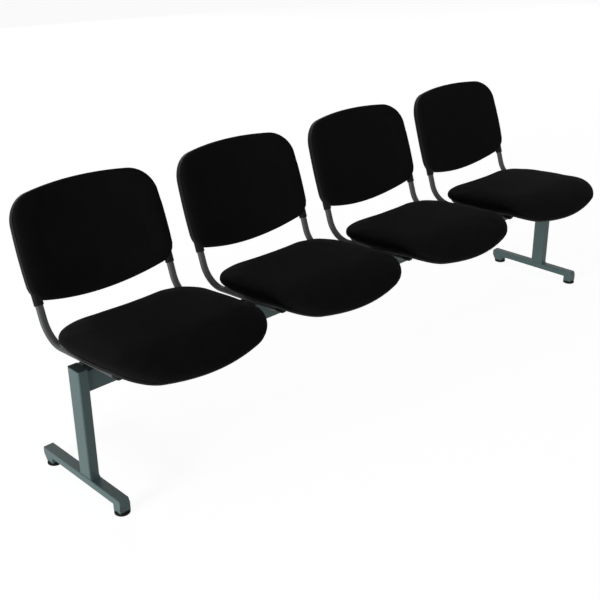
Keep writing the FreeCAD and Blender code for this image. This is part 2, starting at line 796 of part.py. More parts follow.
# Seat frames
def tube_path(body):
    """Run under the seat, bend and upright, on the body's own middle plane."""
    sketch = new_sketch(body, body.Name + "_path", "YZ_Plane")
    level = -tube_depth / 2
    tip = Vector(-size("run_front"), level, 0)
    bend = Vector(size("bend_start"), level, 0)
    centre = bend + Vector(0, size("bend_radius"), 0)
    arc = Part.ArcOfCircle(Part.Circle(centre, Z_AXIS, size("bend_radius")), -math.pi / 2, -recline_rad)
    top = arc.EndPoint
    length = size("upright_length") + size("tube_insert")
    end = top + Vector(math.sin(recline_rad), math.cos(recline_rad), 0) * length
    sketch.addGeometry(Part.LineSegment(tip, bend), False)
    sketch.addGeometry(arc, False)
    sketch.addGeometry(Part.LineSegment(top, end), False)
    sketch.addConstraint(Sketcher.Constraint("Tangent", 0, 2, 1, 1))
    sketch.addConstraint(Sketcher.Constraint("Tangent", 1, 2, 2, 1))
    fix_point(sketch, 0, 1, "-dims.run_front", "-dims.tube_thickness / 2")
    fix_point(sketch, 0, 2, "dims.bend_start", "-dims.tube_thickness / 2")
    driven = [("Radius", (1, size("bend_radius")), "dims.bend_radius"),
              ("Distance", (2, length), "dims.upright_length + dims.tube_insert"),
              ("Angle", (2, math.radians(90 - recline)), "180 deg - dims.back_angle * 1 deg")]
    for kind, values, expression in driven:
        index = sketch.addConstraint(Sketcher.Constraint(kind, *values))
        sketch.setExpression(f"Constraints[{index}]", expression)
    return sketch


def make_side_tube(index, side, label):
    """Flat oval tube that carries seat and back on one side of a place."""
    body = doc.addObject("PartDesign::Body", label + "_tube")
    path = tube_path(body)
    section = new_sketch(body, label + "_section", "XZ_Plane", size("run_front"))
    section.setExpression("AttachmentOffset.Base.z", "dims.run_front")
    middle = "-dims.tube_thickness / 2"
    slot(section, "dims.tube_width", "dims.tube_thickness", middle)
    slot(section, "dims.tube_width - 2 * dims.tube_wall", "dims.tube_thickness - 2 * dims.tube_wall", middle)
    pipe = body.newObject("PartDesign::AdditivePipe", label + "_pipe")
    pipe.Profile = section
    pipe.Spine = (path, ["Edge1", "Edge2", "Edge3"])
    doc.recompute()
    at = Placement(Vector(0, back_y, back_z), Rotation(X_AXIS, -recline))
    rise = Placement(Vector(0, size("back_screw_seat"), size("back_screw_rise")), Rotation(X_AXIS, 90))
    drill = cylinder(label + "_screw_hole", "dims.back_screw_diameter + 2 * dims.screw_clearance",
                     "dims.back_screw_seat", at.multiply(rise))
    offset = Placement(Vector(side * tube_x, 0, 0), Rotation())
    keep(cut(label + "_drilled", body, drill), label, seat_frame(index).multiply(offset))


def make_tube_tips():
    """Rounded plastic tips in the front ends of the side tubes."""
    members = []
    middle = "-dims.tube_thickness / 2"
    bore = "2 * dims.tube_wall + 2 * dims.running_clearance"
    for index in range(places):
        for side in (-1, 1):
            body = doc.addObject("PartDesign::Body", "tip_body")
            nose_section = new_sketch(body, "tip_nose_section", "XZ_Plane", size("run_front"))
            nose_section.setExpression("AttachmentOffset.Base.z", "dims.run_front")
            slot(nose_section, "dims.tube_width", "dims.tube_thickness", middle)
            nose = body.newObject("PartDesign::Pad", "tip_nose")
            nose.Profile = nose_section
            nose.setExpression("Length", "dims.tip_length")
            doc.recompute()
            front = nose.Shape.BoundBox.YMin
            names = [f"Edge{number}" for number, edge in enumerate(nose.Shape.Edges, start=1)
                     if edge.BoundBox.YMax < front + 1e-3]
            round_edges(body, names, "dims.tip_round")
            plug_section = new_sketch(body, "tip_plug_section", "XZ_Plane", size("run_front"))
            plug_section.setExpression("AttachmentOffset.Base.z", "dims.run_front")
            slot(plug_section, f"dims.tube_width - ({bore})", f"dims.tube_thickness - ({bore})", middle)
            plug = body.newObject("PartDesign::Pad", "tip_plug")
            plug.Profile = plug_section
            plug.Reversed = True
            plug.setExpression("Length", "dims.tip_plug")
            doc.recompute()
            offset = Placement(Vector(side * tube_x, 0, 0), Rotation())
            body.Placement = seat_frame(index).multiply(offset)
            members.append(body)
    keep(group("tube_tip_set", members), "tube_tips")


def bar_section(middle, inset):
    """Corners of a cross bar's section, its top a little above the tubes."""
    across = f"(dims.bar_width / 2 - {inset})"
    low = f"dims.pan_lift - dims.tube_thickness + {inset}"
    high = f"dims.pan_lift - {inset}"
    return [(f"{middle} - {across}", low), (f"{middle} + {across}", low),
            (f"{middle} + {across}", high), (f"{middle} - {across}", high)]


def make_cross_bars(index, label):
    """Two bars between the side tubes and the bearer that lies on the saddles."""
    members = []
    for name, y in (("front_bar", "dims.front_bar_y"), ("rear_bar", "dims.rear_bar_y")):
        bar = prism(f"{label}_{name}", "YZ_Plane", bar_section(y, "0"),
                    "dims.tube_spacing - dims.tube_width", bar_section(y, "dims.bar_wall"))
        drills = []
        for side in (-1, 1):
            place = Placement(Vector(side * size("seat_screw_x"), value(y), -2 * tube_depth), Rotation())
            drills.append(cylinder(f"{label}_{name}_hole", "dims.screw_diameter + 2 * dims.screw_clearance",
                                   "3 * dims.tube_thickness", place))
        drilled = cut(f"{label}_{name}_drilled", bar, group(f"{label}_{name}_drills", drills))
        drilled.Placement = seat_frame(index)
        members.append(drilled)
    bearer = doc.addObject("Part::Box", label + "_bearer")
    bearer.setExpression("Length", "dims.tube_spacing + dims.tube_width")
    bearer.setExpression("Width", "dims.beam_depth / 2 - dims.bearer_front")
    bearer.setExpression("Height", "dims.bearer_height")
    left = place_x(index) - tube_x - tube_half
    bearer.Placement = Placement(
        Vector(left, size("bearer_front"), size("beam_top") + size("saddle_thickness")), Rotation())
    members.append(bearer)
    keep(group(label + "_set", members), label)


def make_saddles(index, label):
    """Folded saddles that hug the beam under one place."""
    face = "dims.beam_depth / 2"
    outer = "(dims.beam_depth / 2 + dims.saddle_thickness)"
    low = "dims.beam_top - dims.saddle_flange"
    high = "dims.beam_top + dims.saddle_thickness"
    outline = [(f"-{outer}", high), (f"-{outer}", low), (f"-{face}", low), (f"-{face}", "dims.beam_top"),
               (face, "dims.beam_top"), (face, low), (outer, low), (outer, high)]
    members = []
    for side in (-1, 1):
        body = prism(f"{label}_fold", "YZ_Plane", outline, "dims.saddle_width")
        place = Placement(Vector(0, size("beam_depth"), size("beam_top") - size("saddle_bolt_drop")),
                          Rotation(X_AXIS, 90))
        drill = cylinder(f"{label}_hole", "dims.bolt_diameter + dims.bolt_clearance",
                         "2 * dims.beam_depth", place)
        saddle = cut(f"{label}_saddle", body, drill)
        saddle.Placement = Placement(Vector(place_x(index) + side * size("saddle_offset"), 0, 0), Rotation())
        members.append(saddle)
    keep(group(label + "_set", members), label)


# Seats
def seat_screw_spots():
    """Screw axes through the bars into the seat board, in the seat's frame."""
    return [Vector(side * size("seat_screw_x"), size(bar), 0)
            for bar in ("front_bar_y", "rear_bar_y") for side in (-1, 1)]


def seat_screw_holes(low, high):
    """Cylinders that drill the seat's pieces for their screws."""
    radius = size("screw_diameter") / 2 + size("screw_clearance")
    return [Part.makeCylinder(radius, high - low, spot + Vector(0, 0, low)) for spot in seat_screw_spots()]


def dished(inset, low, high, round_radius):
    """Bent plate of the seat's outline with its lower edge rounded."""
    plate = seat_prism(inset).common(seat_slab(low, high))
    under = edges_where(plate, lambda point: seat_height(point) < low + 0.01)
    return plate.makeFillet(round_radius, under)


def make_seat_pan(index, label):
    """Shallow plastic pan under the cushion, bent down at the front."""
    low = size("pan_lift")
    high = low + size("pan_height")
    wall = size("pan_wall")
    inset = size("pan_inset")
    outside = dished(inset, low, high, size("pan_round"))
    inside = dished(inset + wall, low + wall, high + wall, size("pan_round") - wall)
    shape = outside.cut(inside).cut(seat_screw_holes(low - wall, high))
    keep(solid(label + "_shape", shape), label, seat_frame(index))


def make_seat_board(index, label):
    """Moulded plywood board in the pan, under the foam."""
    low = size("pan_lift") + size("pan_wall")
    high = size("pan_lift") + size("pan_height")
    inset = size("pan_inset") + size("pan_round") + size("seat_board_gap")
    board = seat_prism(inset).common(seat_slab(low, high))
    shape = board.cut(seat_screw_holes(low - size("pan_wall"), high + size("pan_wall")))
    keep(solid(label + "_shape", shape), label, seat_frame(index))


def make_seat_cushion(index, label):
    """Crowned cushion: tucked in at the pan, rounded above, falling away at the front."""
    low = size("pan_lift") + size("pan_height")
    high = low + size("seat_cushion_height")
    block = seat_prism(0).common(seat_slab(low, 2 * high))
    block = block.common(seat_slab(-high, high, size("seat_cushion_crown")))
    middle = (low + high) / 2
    over = edges_where(block, lambda point: seat_height(point) > middle)
    rounded = block.makeFillet(size("seat_cushion_round"), over)
    under = edges_where(rounded, lambda point: seat_height(point) < low + 0.01)
    shape = rounded.makeFillet(size("seat_cushion_tuck"), under)
    keep(solid(label + "_shape", shape), label, seat_frame(index))


def make_seat_screws():
    """Screws up through the bars and the pan into each seat board."""
    members = []
    length = "dims.tube_thickness + dims.pan_wall + dims.screw_bite"
    for index in range(places):
        for spot in seat_screw_spots():
            head = cylinder("seat_screw_head", "dims.screw_head_diameter", "dims.screw_head_height",
                            Placement(Vector(0, 0, -size("screw_head_height")), Rotation()))
            shank = cylinder("seat_screw_shank", "dims.screw_diameter", length, Placement())
            screw = fuse("seat_screw", [head, shank])
            under = Placement(spot + Vector(0, 0, size("pan_lift") - tube_depth), Rotation())
            screw.Placement = seat_frame(index).multiply(under)
            members.append(screw)
    keep(group("seat_screw_set", members), "seat_screws")


# Backs
def oval_prism(width, thickness, x, low, high):
    """Upright flat oval column at a place across the back."""
    reach = (width - thickness) / 2
    radius = thickness / 2
    right, left = Vector(x + reach, 0, low), Vector(x - reach, 0, low)
    side = Vector(radius, 0, 0)
    flat = Vector(0, radius, 0)
    edges = [Part.Arc(right - flat, right + side, right + flat).toShape(),
             Part.LineSegment(right + flat, left + flat).toShape(),
             Part.Arc(left + flat, left - side, left - flat).toShape(),
             Part.LineSegment(left - flat, right - flat).toShape()]
    return Part.Face(Part.Wire(edges)).extrude(Vector(0, 0, high - low))


def socket_sizes():
    """Outer width and thickness of the sockets in the back shell."""
    grow = 2 * (size("socket_fit") + size("socket_wall"))
    return size("tube_width") + grow, size("tube_thickness") + grow


def make_back_shell(index, label):
    """Plastic rear cover with a ledge for the board and a socket for each tube."""
    wall = size("shell_wall")
    depth = size("shell_depth")
    lip = size("shell_lip")
    ledge = lip - size("back_board_thickness")
    block = back_prism(0).common(curved_slab(-depth, lip))
    rear_radius = size("back_curve_radius") + depth
    rear_edges = edges_where(block, lambda point: back_radius(point) > rear_radius - 0.01)
    outside = block.makeFillet(size("shell_round"), rear_edges)
    board_room = back_prism(wall).common(curved_slab(ledge, lip + wall))
    deep_room = back_prism(wall + size("shell_ledge")).common(curved_slab(wall - depth, ledge + wall))
    shape = outside.cut(board_room).cut(deep_room)
    width, thickness = socket_sizes()
    top = size("tube_insert")
    low = -size("socket_drop")
    bore_width = size("tube_width") + 2 * size("socket_fit")
    bore_thickness = tube_depth + 2 * size("socket_fit")
    sockets = []
    bores = []
    for side in (-1, 1):
        x = side * tube_x
        rib = Part.makeBox(width, 2 * depth, top, Vector(x - width / 2, 0, 0)).common(outside)
        sockets += [oval_prism(width, thickness, x, low, top + wall), rib]
        bores.append(oval_prism(bore_width, bore_thickness, x, low - wall, top))
        at = Vector(x, size("back_screw_seat"), size("back_screw_rise"))
        head_radius = size("back_screw_head_diameter") / 2 + size("screw_clearance")
        shank_radius = size("back_screw_diameter") / 2 + size("screw_clearance")
        bores.append(Part.makeCylinder(head_radius, depth, at, Y_AXIS))
        bores.append(Part.makeCylinder(shank_radius, size("back_screw_seat"), at, -Y_AXIS))
    shape = shape.fuse(sockets).cut(bores)
    keep(solid(label + "_shape", shape), label, back_frame(index))


def socket_clearances(gap):
    """Blocks that clear the sockets and what is beside and behind them."""
    width, thickness = socket_sizes()
    reach = size("back_half_bottom") + size("back_bow_side")
    inner = tube_x - width / 2 - gap
    low = -size("back_bow_bottom") - size("socket_drop")
    high = size("tube_insert") + size("shell_wall") + gap
    front = -thickness / 2 - gap
    rear = size("back_curve_depth") + size("shell_depth")
    blocks = []
    for side in (-1, 1):
        corner = min(side * inner, side * reach)
        blocks.append(Part.makeBox(reach - inner, rear - front, high - low, Vector(corner, front, low)))
    return blocks


def make_back_board(index, label):
    """Curved plywood board behind the foam, notched beside the sockets."""
    inset = size("shell_wall") + size("back_board_gap")
    lip = size("shell_lip")
    board = back_prism(inset).common(curved_slab(lip - size("back_board_thickness"), lip))
    shape = board.cut(socket_clearances(size("back_board_gap")))
    keep(solid(label + "_shape", shape), label, back_frame(index))


def make_back_cushion(index, label):
    """Back cushion: hollow across, crowned upwards, its front edge rounded all round."""
    lip = size("shell_lip")
    front = lip + size("back_cushion_edge")
    block = back_prism(size("back_cushion_inset")).common(
        curved_slab(lip, front, size("back_cushion_crown")))
    front_radius = size("back_curve_radius") - front
    front_edges = edges_where(block, lambda point: back_radius(point) < front_radius + 0.01)
    rounded = block.makeFillet(size("back_cushion_round"), front_edges)
    shape = rounded.cut(socket_pockets())
    keep(solid(label + "_shape", shape), label, back_frame(index))


def socket_pockets():
    """Room in the back cushion for the fronts of the sockets."""
    width, thickness = socket_sizes()
    gap = size("pocket_clearance")
    low = -size("back_bow_bottom") - size("socket_drop")
    high = size("tube_insert") + size("shell_wall") + gap
    return [oval_prism(width + 2 * gap, thickness + 2 * gap, side * tube_x, low, high) for side in (-1, 1)]


def make_back_screws():
    """Screw through each socket from the rear into the tube."""
    members = []
    length = "dims.back_screw_seat - dims.tube_thickness / 2 + 3 * dims.tube_wall"
    for index in range(places):
        for side in (-1, 1):
            head = cylinder("back_screw_head", "dims.back_screw_head_diameter", "dims.back_screw_head_height",
                            Placement(Vector(0, 0, -size("back_screw_head_height")), Rotation()))
            shank = cylinder("back_screw_shank", "dims.back_screw_diameter", length, Placement())
            screw = fuse("back_screw", [head, shank])
            at = Vector(side * tube_x, size("back_screw_seat"), size("back_screw_rise"))
            screw.Placement = back_frame(index).multiply(Placement(at, Rotation(X_AXIS, 90)))
            members.append(screw)
    keep(group("back_screw_set", members), "back_screws")


make_beam()
make_saddle_fasteners()
make_leg(-1, "leg_left")
make_leg(1, "leg_right")
make_column_caps()
make_leg_stubs()
make_leg_screws()
make_glides()
make_tube_tips()
make_seat_screws()
make_back_screws()
for place_index in range(places):
    number = place_index + 1
    make_side_tube(place_index, -1, f"side_tube_left_{number}")
    make_side_tube(place_index, 1, f"side_tube_right_{number}")
    make_cross_bars(place_index, f"cross_bars_{number}")
    make_saddles(place_index, f"beam_saddles_{number}")
    make_seat_pan(place_index, f"seat_pan_{number}")
    make_seat_board(place_index, f"seat_board_{number}")
    make_seat_cushion(place_index, f"seat_cushion_{number}")
    make_back_shell(place_index, f"back_shell_{number}")
    make_back_board(place_index, f"back_board_{number}")
    make_back_cushion(place_index, f"back_cushion_{number}")
doc.recompute()

# Origin at the middle of the footprint
low_y = min(node.Shape.optimalBoundingBox(False).YMin for node in nodes)
high_y = max(node.Shape.optimalBoundingBox(False).YMax for node in nodes)
shift = Placement(Vector(0, -(low_y + high_y) / 2, 0), Rotation())
for node in nodes:
    node.Placement = shift.multiply(node.Placement)
doc.recompute()
print(f"row moved by {-(low_y + high_y) / 2:.3f} mm, depth {high_y - low_y:.1f} mm")

for thing in doc.Objects:
    if "Invalid" in thing.State or "Error" in thing.State:
        raise RuntimeError(f"{thing.Name} failed: {thing.State}")
for node in nodes:
    if node.Shape.isNull() or not node.Shape.isValid():
        raise RuntimeError(f"{node.Label} has no valid shape")

os.makedirs("parts", exist_ok=True)
for node in nodes:
    node.Shape.exportStep(f"parts/{node.Label}.step")
    print(f"{node.Label}: {len(node.Shape.Solids)} solids, {node.Shape.Volume / 1000:.1f} cm3")
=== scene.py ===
import json
import math

import bpy
from mathutils import Matrix, Vector, noise


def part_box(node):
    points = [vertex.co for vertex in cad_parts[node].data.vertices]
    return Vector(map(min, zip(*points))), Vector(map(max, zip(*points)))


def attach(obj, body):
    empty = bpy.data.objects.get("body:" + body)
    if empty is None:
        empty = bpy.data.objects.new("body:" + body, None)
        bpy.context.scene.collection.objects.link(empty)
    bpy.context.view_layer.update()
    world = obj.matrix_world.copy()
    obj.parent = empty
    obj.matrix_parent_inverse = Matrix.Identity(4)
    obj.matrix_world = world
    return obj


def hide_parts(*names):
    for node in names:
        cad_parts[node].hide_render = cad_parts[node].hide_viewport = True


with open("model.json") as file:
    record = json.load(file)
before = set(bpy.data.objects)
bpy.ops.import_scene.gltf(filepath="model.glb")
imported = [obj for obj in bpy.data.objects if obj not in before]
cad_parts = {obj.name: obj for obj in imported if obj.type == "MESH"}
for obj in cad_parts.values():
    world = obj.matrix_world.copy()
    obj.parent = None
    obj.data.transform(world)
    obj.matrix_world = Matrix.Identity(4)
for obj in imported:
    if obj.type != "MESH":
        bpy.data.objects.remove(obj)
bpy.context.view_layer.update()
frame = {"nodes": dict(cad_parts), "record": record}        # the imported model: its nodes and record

PLACES = 4
PITCH = 0.544
BEAM_LOW, BEAM_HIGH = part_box("beam")
BEAM_Y = (BEAM_LOW.y + BEAM_HIGH.y) / 2

# Seat: the plane of the tube tops, and how the cushion lies on it. A roll is how far
# the rounding reaches in from the side, the front and the rear, and a reach is how
# far the outline lies from the middle there.
SEAT_PLANE = 0.3855
SEAT_SLOPE = math.radians(3.4)
SEAT_FLAT_FRONT = 0.135
SEAT_BEND_RADIUS = 0.195
SEAT_EDGE_HEIGHT = 0.0254
SEAT_BOTTOM = 0.0153
SEAT_TOP = 0.0515
SEAT_CROWN = 0.003
SEAT_TUCK = 0.006
SEAT_ROLL = (0.118, 0.126, 0.066)
SEAT_REACH = (0.235, 0.268, 0.151)
SEAT_FULLNESS = 2.4
SEAT_HELD = 0.027
SEAT_EASE = 0.010
SEAT_VOXEL = 0.006

# Legs, and the cross bars between the side tubes of a place. A section is half its
# width, half its depth and its corner's radius.
LEG_X = 1.058
FOOT_TOP = 0.0465
COLUMN_SECTION = (0.015, 0.025, 0.004)
COLUMN_BEAD = 0.0024
BAR_END = 0.204
BARS = (-0.090, 0.062)
BAR_DROP = 0.0065
BAR_SECTION = (0.0075, 0.010, 0.001)
BAR_BEAD = 0.0015
BEAD_STEP = 0.0015
BEAD_RIBS = 7

# Back: where the tubes enter it, and how it leans and curves. Depths are measured
# forward from its curved middle surface.
BACK_ORIGIN = Vector((0, 0.2057, 0.0974))
BACK_RECLINE = math.radians(14.6)
BACK_CURVE_DEPTH = 0.028
BACK_CURVE_RADIUS = 0.860
BACK_REAR = 0.0040
BACK_EDGE = 0.0085
BACK_FRONT = 0.0245
BACK_CROWN = 0.008
BACK_TUCK = 0.0015
BACK_ROLL = 0.076
BACK_MIDDLE = 0.141
BACK_FULLNESS = 2.2
BACK_HELD = 0.0105
BACK_EASE = 0.006
BACK_VOXEL = 0.005
SOCKET_X = 0.215
SOCKET_HALF = 0.0150
SOCKET_TOP = 0.068
SOCKET_DEPTH = 0.0125

# Cushions: how far the cloth may rise under pressure, its steps in time, the rounds
# that even it out, its dips, and what sets the backs' dips apart from the seats'
CLOTH_RISE = 0.004
CLOTH_FRAMES = 20
CLOTH_ROUNDS = 12
DIP_DEPTH = 0.0008
DIP_LENGTH = 0.07
BACK_SEED = 9

# Cloth: distance of its threads, and its colours from the painted shade in the weave's hollows to the worn crests
THREAD_PITCH = 0.0013
# painted shade for the hollows of the weave
CLOTH_HOLLOW_SHADE = (0.0060, 0.0057, 0.0060)
CLOTH_DARK = (0.0105, 0.0100, 0.0105)
CLOTH_LIGHT = (0.0220, 0.0208, 0.0216)
CLOTH_WORN = (0.0235, 0.0224, 0.0232)

# Stage: the floor's half length, its grey and its glow, the world's strength, and
# each lamp's name, place, target, width, height and power in watts
FLOOR_REACH = 60.0
FLOOR_GREY = 0.55
FLOOR_GLOW = 0.90
WORLD_LIGHT = 0.085
LAMPS = (
    ("key", (-9.0, -1.2, 0.9), (0.0, 0.0, 0.45), 3.6, 1.4, 450.0),
    ("fill", (1.5, -7.0, 1.4), (0.0, 0.0, 0.40), 4.0, 2.0, 26.0),
    ("rear", (2.0, 7.5, 1.6), (0.0, 0.0, 0.40), 4.0, 2.0, 60.0),
    ("side", (9.0, 1.0, 1.4), (0.0, 0.0, 0.45), 3.6, 2.0, 60.0),
)

# Camera: its place from the beam's middle line, its azimuth, elevation and roll in
# degrees, and its focal length in widths of the picture
CAMERA_PLACE = Vector((-2.16005, -1.95354, 1.52029))
CAMERA_TURN = (-43.942, 24.148, -0.633)
CAMERA_FOCAL = 974.566 / 600
SENSOR_WIDTH = 36.0


# Outlines
def circle_crossing(centre_a, radius_a, centre_b, radius_b, near):
    """Point where two circles cross near a point."""
    apart = centre_b - centre_a
    along = (radius_a ** 2 - radius_b ** 2 + apart.length_squared) / (2 * apart.length)
    aside = math.sqrt(radius_a ** 2 - along ** 2)
    unit = apart.normalized()
    foot = centre_a + unit * along
    normal = Vector((-unit.y, unit.x))
    return min((foot + normal * aside, foot - normal * aside), key=lambda p: (p - near).length)


def bowed_side(start, end, bow):
    """Centre, radius and sign of the circle through two points, bowed outwards."""
    chord = end - start
    outwards = Vector((chord.y, -chord.x)).normalized()
    radius = (chord.length_squared / 4 + bow ** 2) / (2 * abs(bow))
    sign = math.copysign(1, bow)
    return (start + end) / 2 + outwards * (bow - sign * radius), radius, sign


def arc_points(centre, start, end, count):
    """Points on the short arc about a centre, with its start and without its end."""
    first = start - centre
    turn = -first.angle_signed(end - centre)
    return [centre + Matrix.Rotation(turn * step / count, 2) @ first for step in range(count)]


def outline(half_low, half_high, low, high, bows, corner_low, corner_high, count=16):
    """Closed loop of four bowed sides joined by tangent arcs; the bows are low, side and high."""
    corners = [Vector((-half_low, low)), Vector((half_low, low)),
               Vector((half_high, high)), Vector((-half_high, high))]
    side_bows = [bows[0], bows[1], bows[2], bows[1]]
    radii = [corner_low, corner_high, corner_high, corner_low]
    sides = [bowed_side(corners[i], corners[(i + 1) % 4], side_bows[i]) for i in range(4)]
    rounds = []
    for i in range(4):
        centre_a, radius_a, sign_a = sides[i]
        centre_b, radius_b, sign_b = sides[(i + 1) % 4]
        middle = circle_crossing(centre_a, radius_a - sign_a * radii[i],
                                 centre_b, radius_b - sign_b * radii[i], corners[(i + 1) % 4])
        start = centre_a + (middle - centre_a).normalized() * radius_a
        end = centre_b + (middle - centre_b).normalized() * radius_b
        rounds.append((start, middle, end))
    points = []
    for i in range(4):
        points += arc_points(sides[i][0], rounds[i - 1][2], rounds[i][0], count)
        points += arc_points(rounds[i][1], rounds[i][0], rounds[i][2], count)
    return points


SEAT_OUTLINE = outline(0.231, 0.228, -0.229, 0.168, (0.039, 0.015, -0.017), 0.114, 0.100)
BACK_OUTLINE = outline(0.230, 0.222, 0.011, 0.272, (0.033, 0.006, 0.025), 0.052, 0.085)


# Surfaces
def bent_seat(x, y, height):
    """A point at a height over the seat's underside, which bends down at the front."""
    ahead = -SEAT_FLAT_FRONT - y
    if ahead <= 0:
        return Vector((x, y, height))
    return Vector((x, y, math.sqrt((SEAT_BEND_RADIUS + height) ** 2 - ahead ** 2) - SEAT_BEND_RADIUS))


def seat_height(point):
    """Height of a point over the seat's bent underside."""
    ahead = -SEAT_FLAT_FRONT - point.y
    if ahead <= 0:
        return point.z
    return math.hypot(ahead, point.z + SEAT_BEND_RADIUS) - SEAT_BEND_RADIUS


def curved_back(x, z, depth):
    """A point at a depth before the back's curved middle surface."""
    across = math.sqrt((BACK_CURVE_RADIUS - depth) ** 2 - x ** 2)
    return Vector((x, BACK_CURVE_DEPTH - BACK_CURVE_RADIUS + across, z))


def back_depth(point):
    """Depth of a point before the back's curved middle surface."""
    return BACK_CURVE_RADIUS - math.hypot(point.x, point.y - BACK_CURVE_DEPTH + BACK_CURVE_RADIUS)


def seat_matrix(index):
    """Places a seat: its plane lies on the tube tops and falls to the rear."""
    x = (index - (PLACES - 1) / 2) * PITCH
    return Matrix.Translation((x, BEAM_Y, SEAT_PLANE)) @ Matrix.Rotation(-SEAT_SLOPE, 4, "X")


def back_matrix(index):
    """Places a back over the tubes' upright ends."""
    return seat_matrix(index) @ Matrix.Translation(BACK_ORIGIN) @ Matrix.Rotation(-BACK_RECLINE, 4, "X")


# Cushions
def rolled(steps, fullness):
    """Pairs that run from an edge to the top of a rolled profile: share inwards, share upwards."""
    pairs = []
    for step in range(steps + 1):
        angle = step / steps * math.pi / 2
        pairs.append((1 - math.cos(angle) ** (2 / fullness), math.sin(angle) ** (2 / fullness)))
    return pairs


def closed_mesh(name, rings, first, last):
    """Mesh through rings of equal count, closed by a point at each end."""
    count = len(rings[0])
    points = [first] + [point for ring in rings for point in ring] + [last]
    faces = []
    for i in range(count):
        j = (i + 1) % count
        faces.append((0, 1 + j, 1 + i))
        for row in range(len(rings) - 1):
            low, high = 1 + row * count, 1 + (row + 1) * count
            faces.append((low + i, low + j, high + j, high + i))
        top = 1 + (len(rings) - 1) * count
        faces.append((top + i, top + j, len(points) - 1))
    mesh = bpy.data.meshes.new(name)
    mesh.from_pydata([tuple(point) for point in points], [], faces)
    mesh.update()
    return mesh


def seat_form():
    """Seat cushion: flat below, tucked in at the pan, rolled over its edge and crowned."""
    side_roll, front_roll, rear_roll = SEAT_ROLL
    side_reach, front_reach, rear_reach = SEAT_REACH

    def ring(share, draw, height):
        points = []
        for edge in SEAT_OUTLINE:
            inner = edge * (1 - draw / edge.length)
            roll, reach = (front_roll, front_reach) if edge.y < 0 else (rear_roll, rear_reach)
            points.append(bent_seat(inner.x * (1 - share * side_roll / side_reach),
                                    inner.y * (1 - share * roll / reach), height))
        return points

    rings = []
    for share in (0.3, 0.6, 0.85):
        rings.append([bent_seat(edge.x * share, edge.y * share, SEAT_BOTTOM) for edge in SEAT_OUTLINE])
    lower, upper = SEAT_EDGE_HEIGHT - SEAT_BOTTOM, SEAT_TOP - SEAT_EDGE_HEIGHT
    steps = 5
    for step in range(steps):
        angle = step / steps * math.pi / 2
        draw = SEAT_TUCK * (1 - math.sin(angle))
        rings.append(ring(0, draw, SEAT_EDGE_HEIGHT - lower * math.cos(angle)))
    for share, rise in rolled(14, SEAT_FULLNESS):
        rings.append(ring(share, 0, SEAT_EDGE_HEIGHT + upper * rise))
    top = list(rings[-1])
    for share in (0.8, 0.6, 0.4, 0.2):
        height = SEAT_TOP + SEAT_CROWN * (1 - share ** 2)
        rings.append([bent_seat(p.x * share, p.y * share, height) for p in top])
    return closed_mesh("seat_form", rings, Vector((0, 0, SEAT_BOTTOM)),
                       Vector((0, 0, SEAT_TOP + SEAT_CROWN)))


def socket_room(x, z, depth):
    """Depth of the cushion's rear face, drawn forward over the sockets of the tubes."""
    if abs(abs(x) - SOCKET_X) < SOCKET_HALF and z < SOCKET_TOP:
        return max(depth, SOCKET_DEPTH)
    return depth


def back_form():
    """Back cushion: its rear face on the board, its front edge rolled and its middle crowned."""
    middle = Vector((0, BACK_MIDDLE))

    def ring(draw, depth):
        points = []
        for edge in BACK_OUTLINE:
            out = edge - middle
            inner = middle + out * (1 - draw / out.length)
            points.append(curved_back(inner.x, inner.y, depth))
        return points

    rings = []
    for share in (0.25, 0.5, 0.75, 0.9):
        flat = [middle + (edge - middle) * share for edge in BACK_OUTLINE]
        rings.append([curved_back(p.x, p.y, socket_room(p.x, p.y, BACK_REAR)) for p in flat])
    rings.append(ring(BACK_TUCK, BACK_REAR))
    rings.append(ring(0, BACK_EDGE))
    for share, rise in rolled(12, BACK_FULLNESS)[1:]:
        rings.append(ring(share * BACK_ROLL, BACK_EDGE + (BACK_FRONT - BACK_EDGE) * rise))
    top = [Vector((point.x, point.z)) for point in rings[-1]]
    for share in (0.85, 0.7, 0.5, 0.3, 0.15):
        depth = BACK_FRONT + BACK_CROWN * (1 - share ** 2)
        inner = [middle + (edge - middle) * share for edge in top]
        rings.append([curved_back(p.x, p.y, depth) for p in inner])
    return closed_mesh("back_form", rings, curved_back(0, middle.y, BACK_REAR),
                       curved_back(0, middle.y, BACK_FRONT + BACK_CROWN))


def seat_free(point):
    """Share by which the cloth of a seat can move: none at the pan, all above the edge."""
    return min(1.0, max(0.0, (seat_height(point) - SEAT_HELD) / SEAT_EASE))


def back_free(point):
    """Share by which the cloth of a back can move: none at the board, all before the edge."""
    return min(1.0, max(0.0, (back_depth(point) - BACK_HELD) / BACK_EASE))


def applied(obj):
    """Mesh of an object with its modifiers applied."""
    depsgraph = bpy.context.evaluated_depsgraph_get()
    return bpy.data.meshes.new_from_object(obj.evaluated_get(depsgraph))


def rebuilt(obj, *modifiers):
    """Applies modifiers, each a kind and its settings, to an object's mesh."""
    for kind, settings in modifiers:
        modifier = obj.modifiers.new(kind.lower(), kind)
        for key, setting in settings.items():
            setattr(modifier, key, setting)
    mesh = applied(obj)
    obj.modifiers.clear()
    obj.data = mesh


def evened(mesh, amounts, rounds):
    """Amounts of the vertices, averaged with those of their neighbours."""
    for _ in range(rounds):
        sums = list(amounts)
        counts = [1] * len(amounts)
        for edge in mesh.edges:
            first, second = edge.vertices
            sums[first] += amounts[second]
            sums[second] += amounts[first]
            counts[first] += 1
            counts[second] += 1
        amounts = [total / count for total, count in zip(sums, counts)]
    return amounts


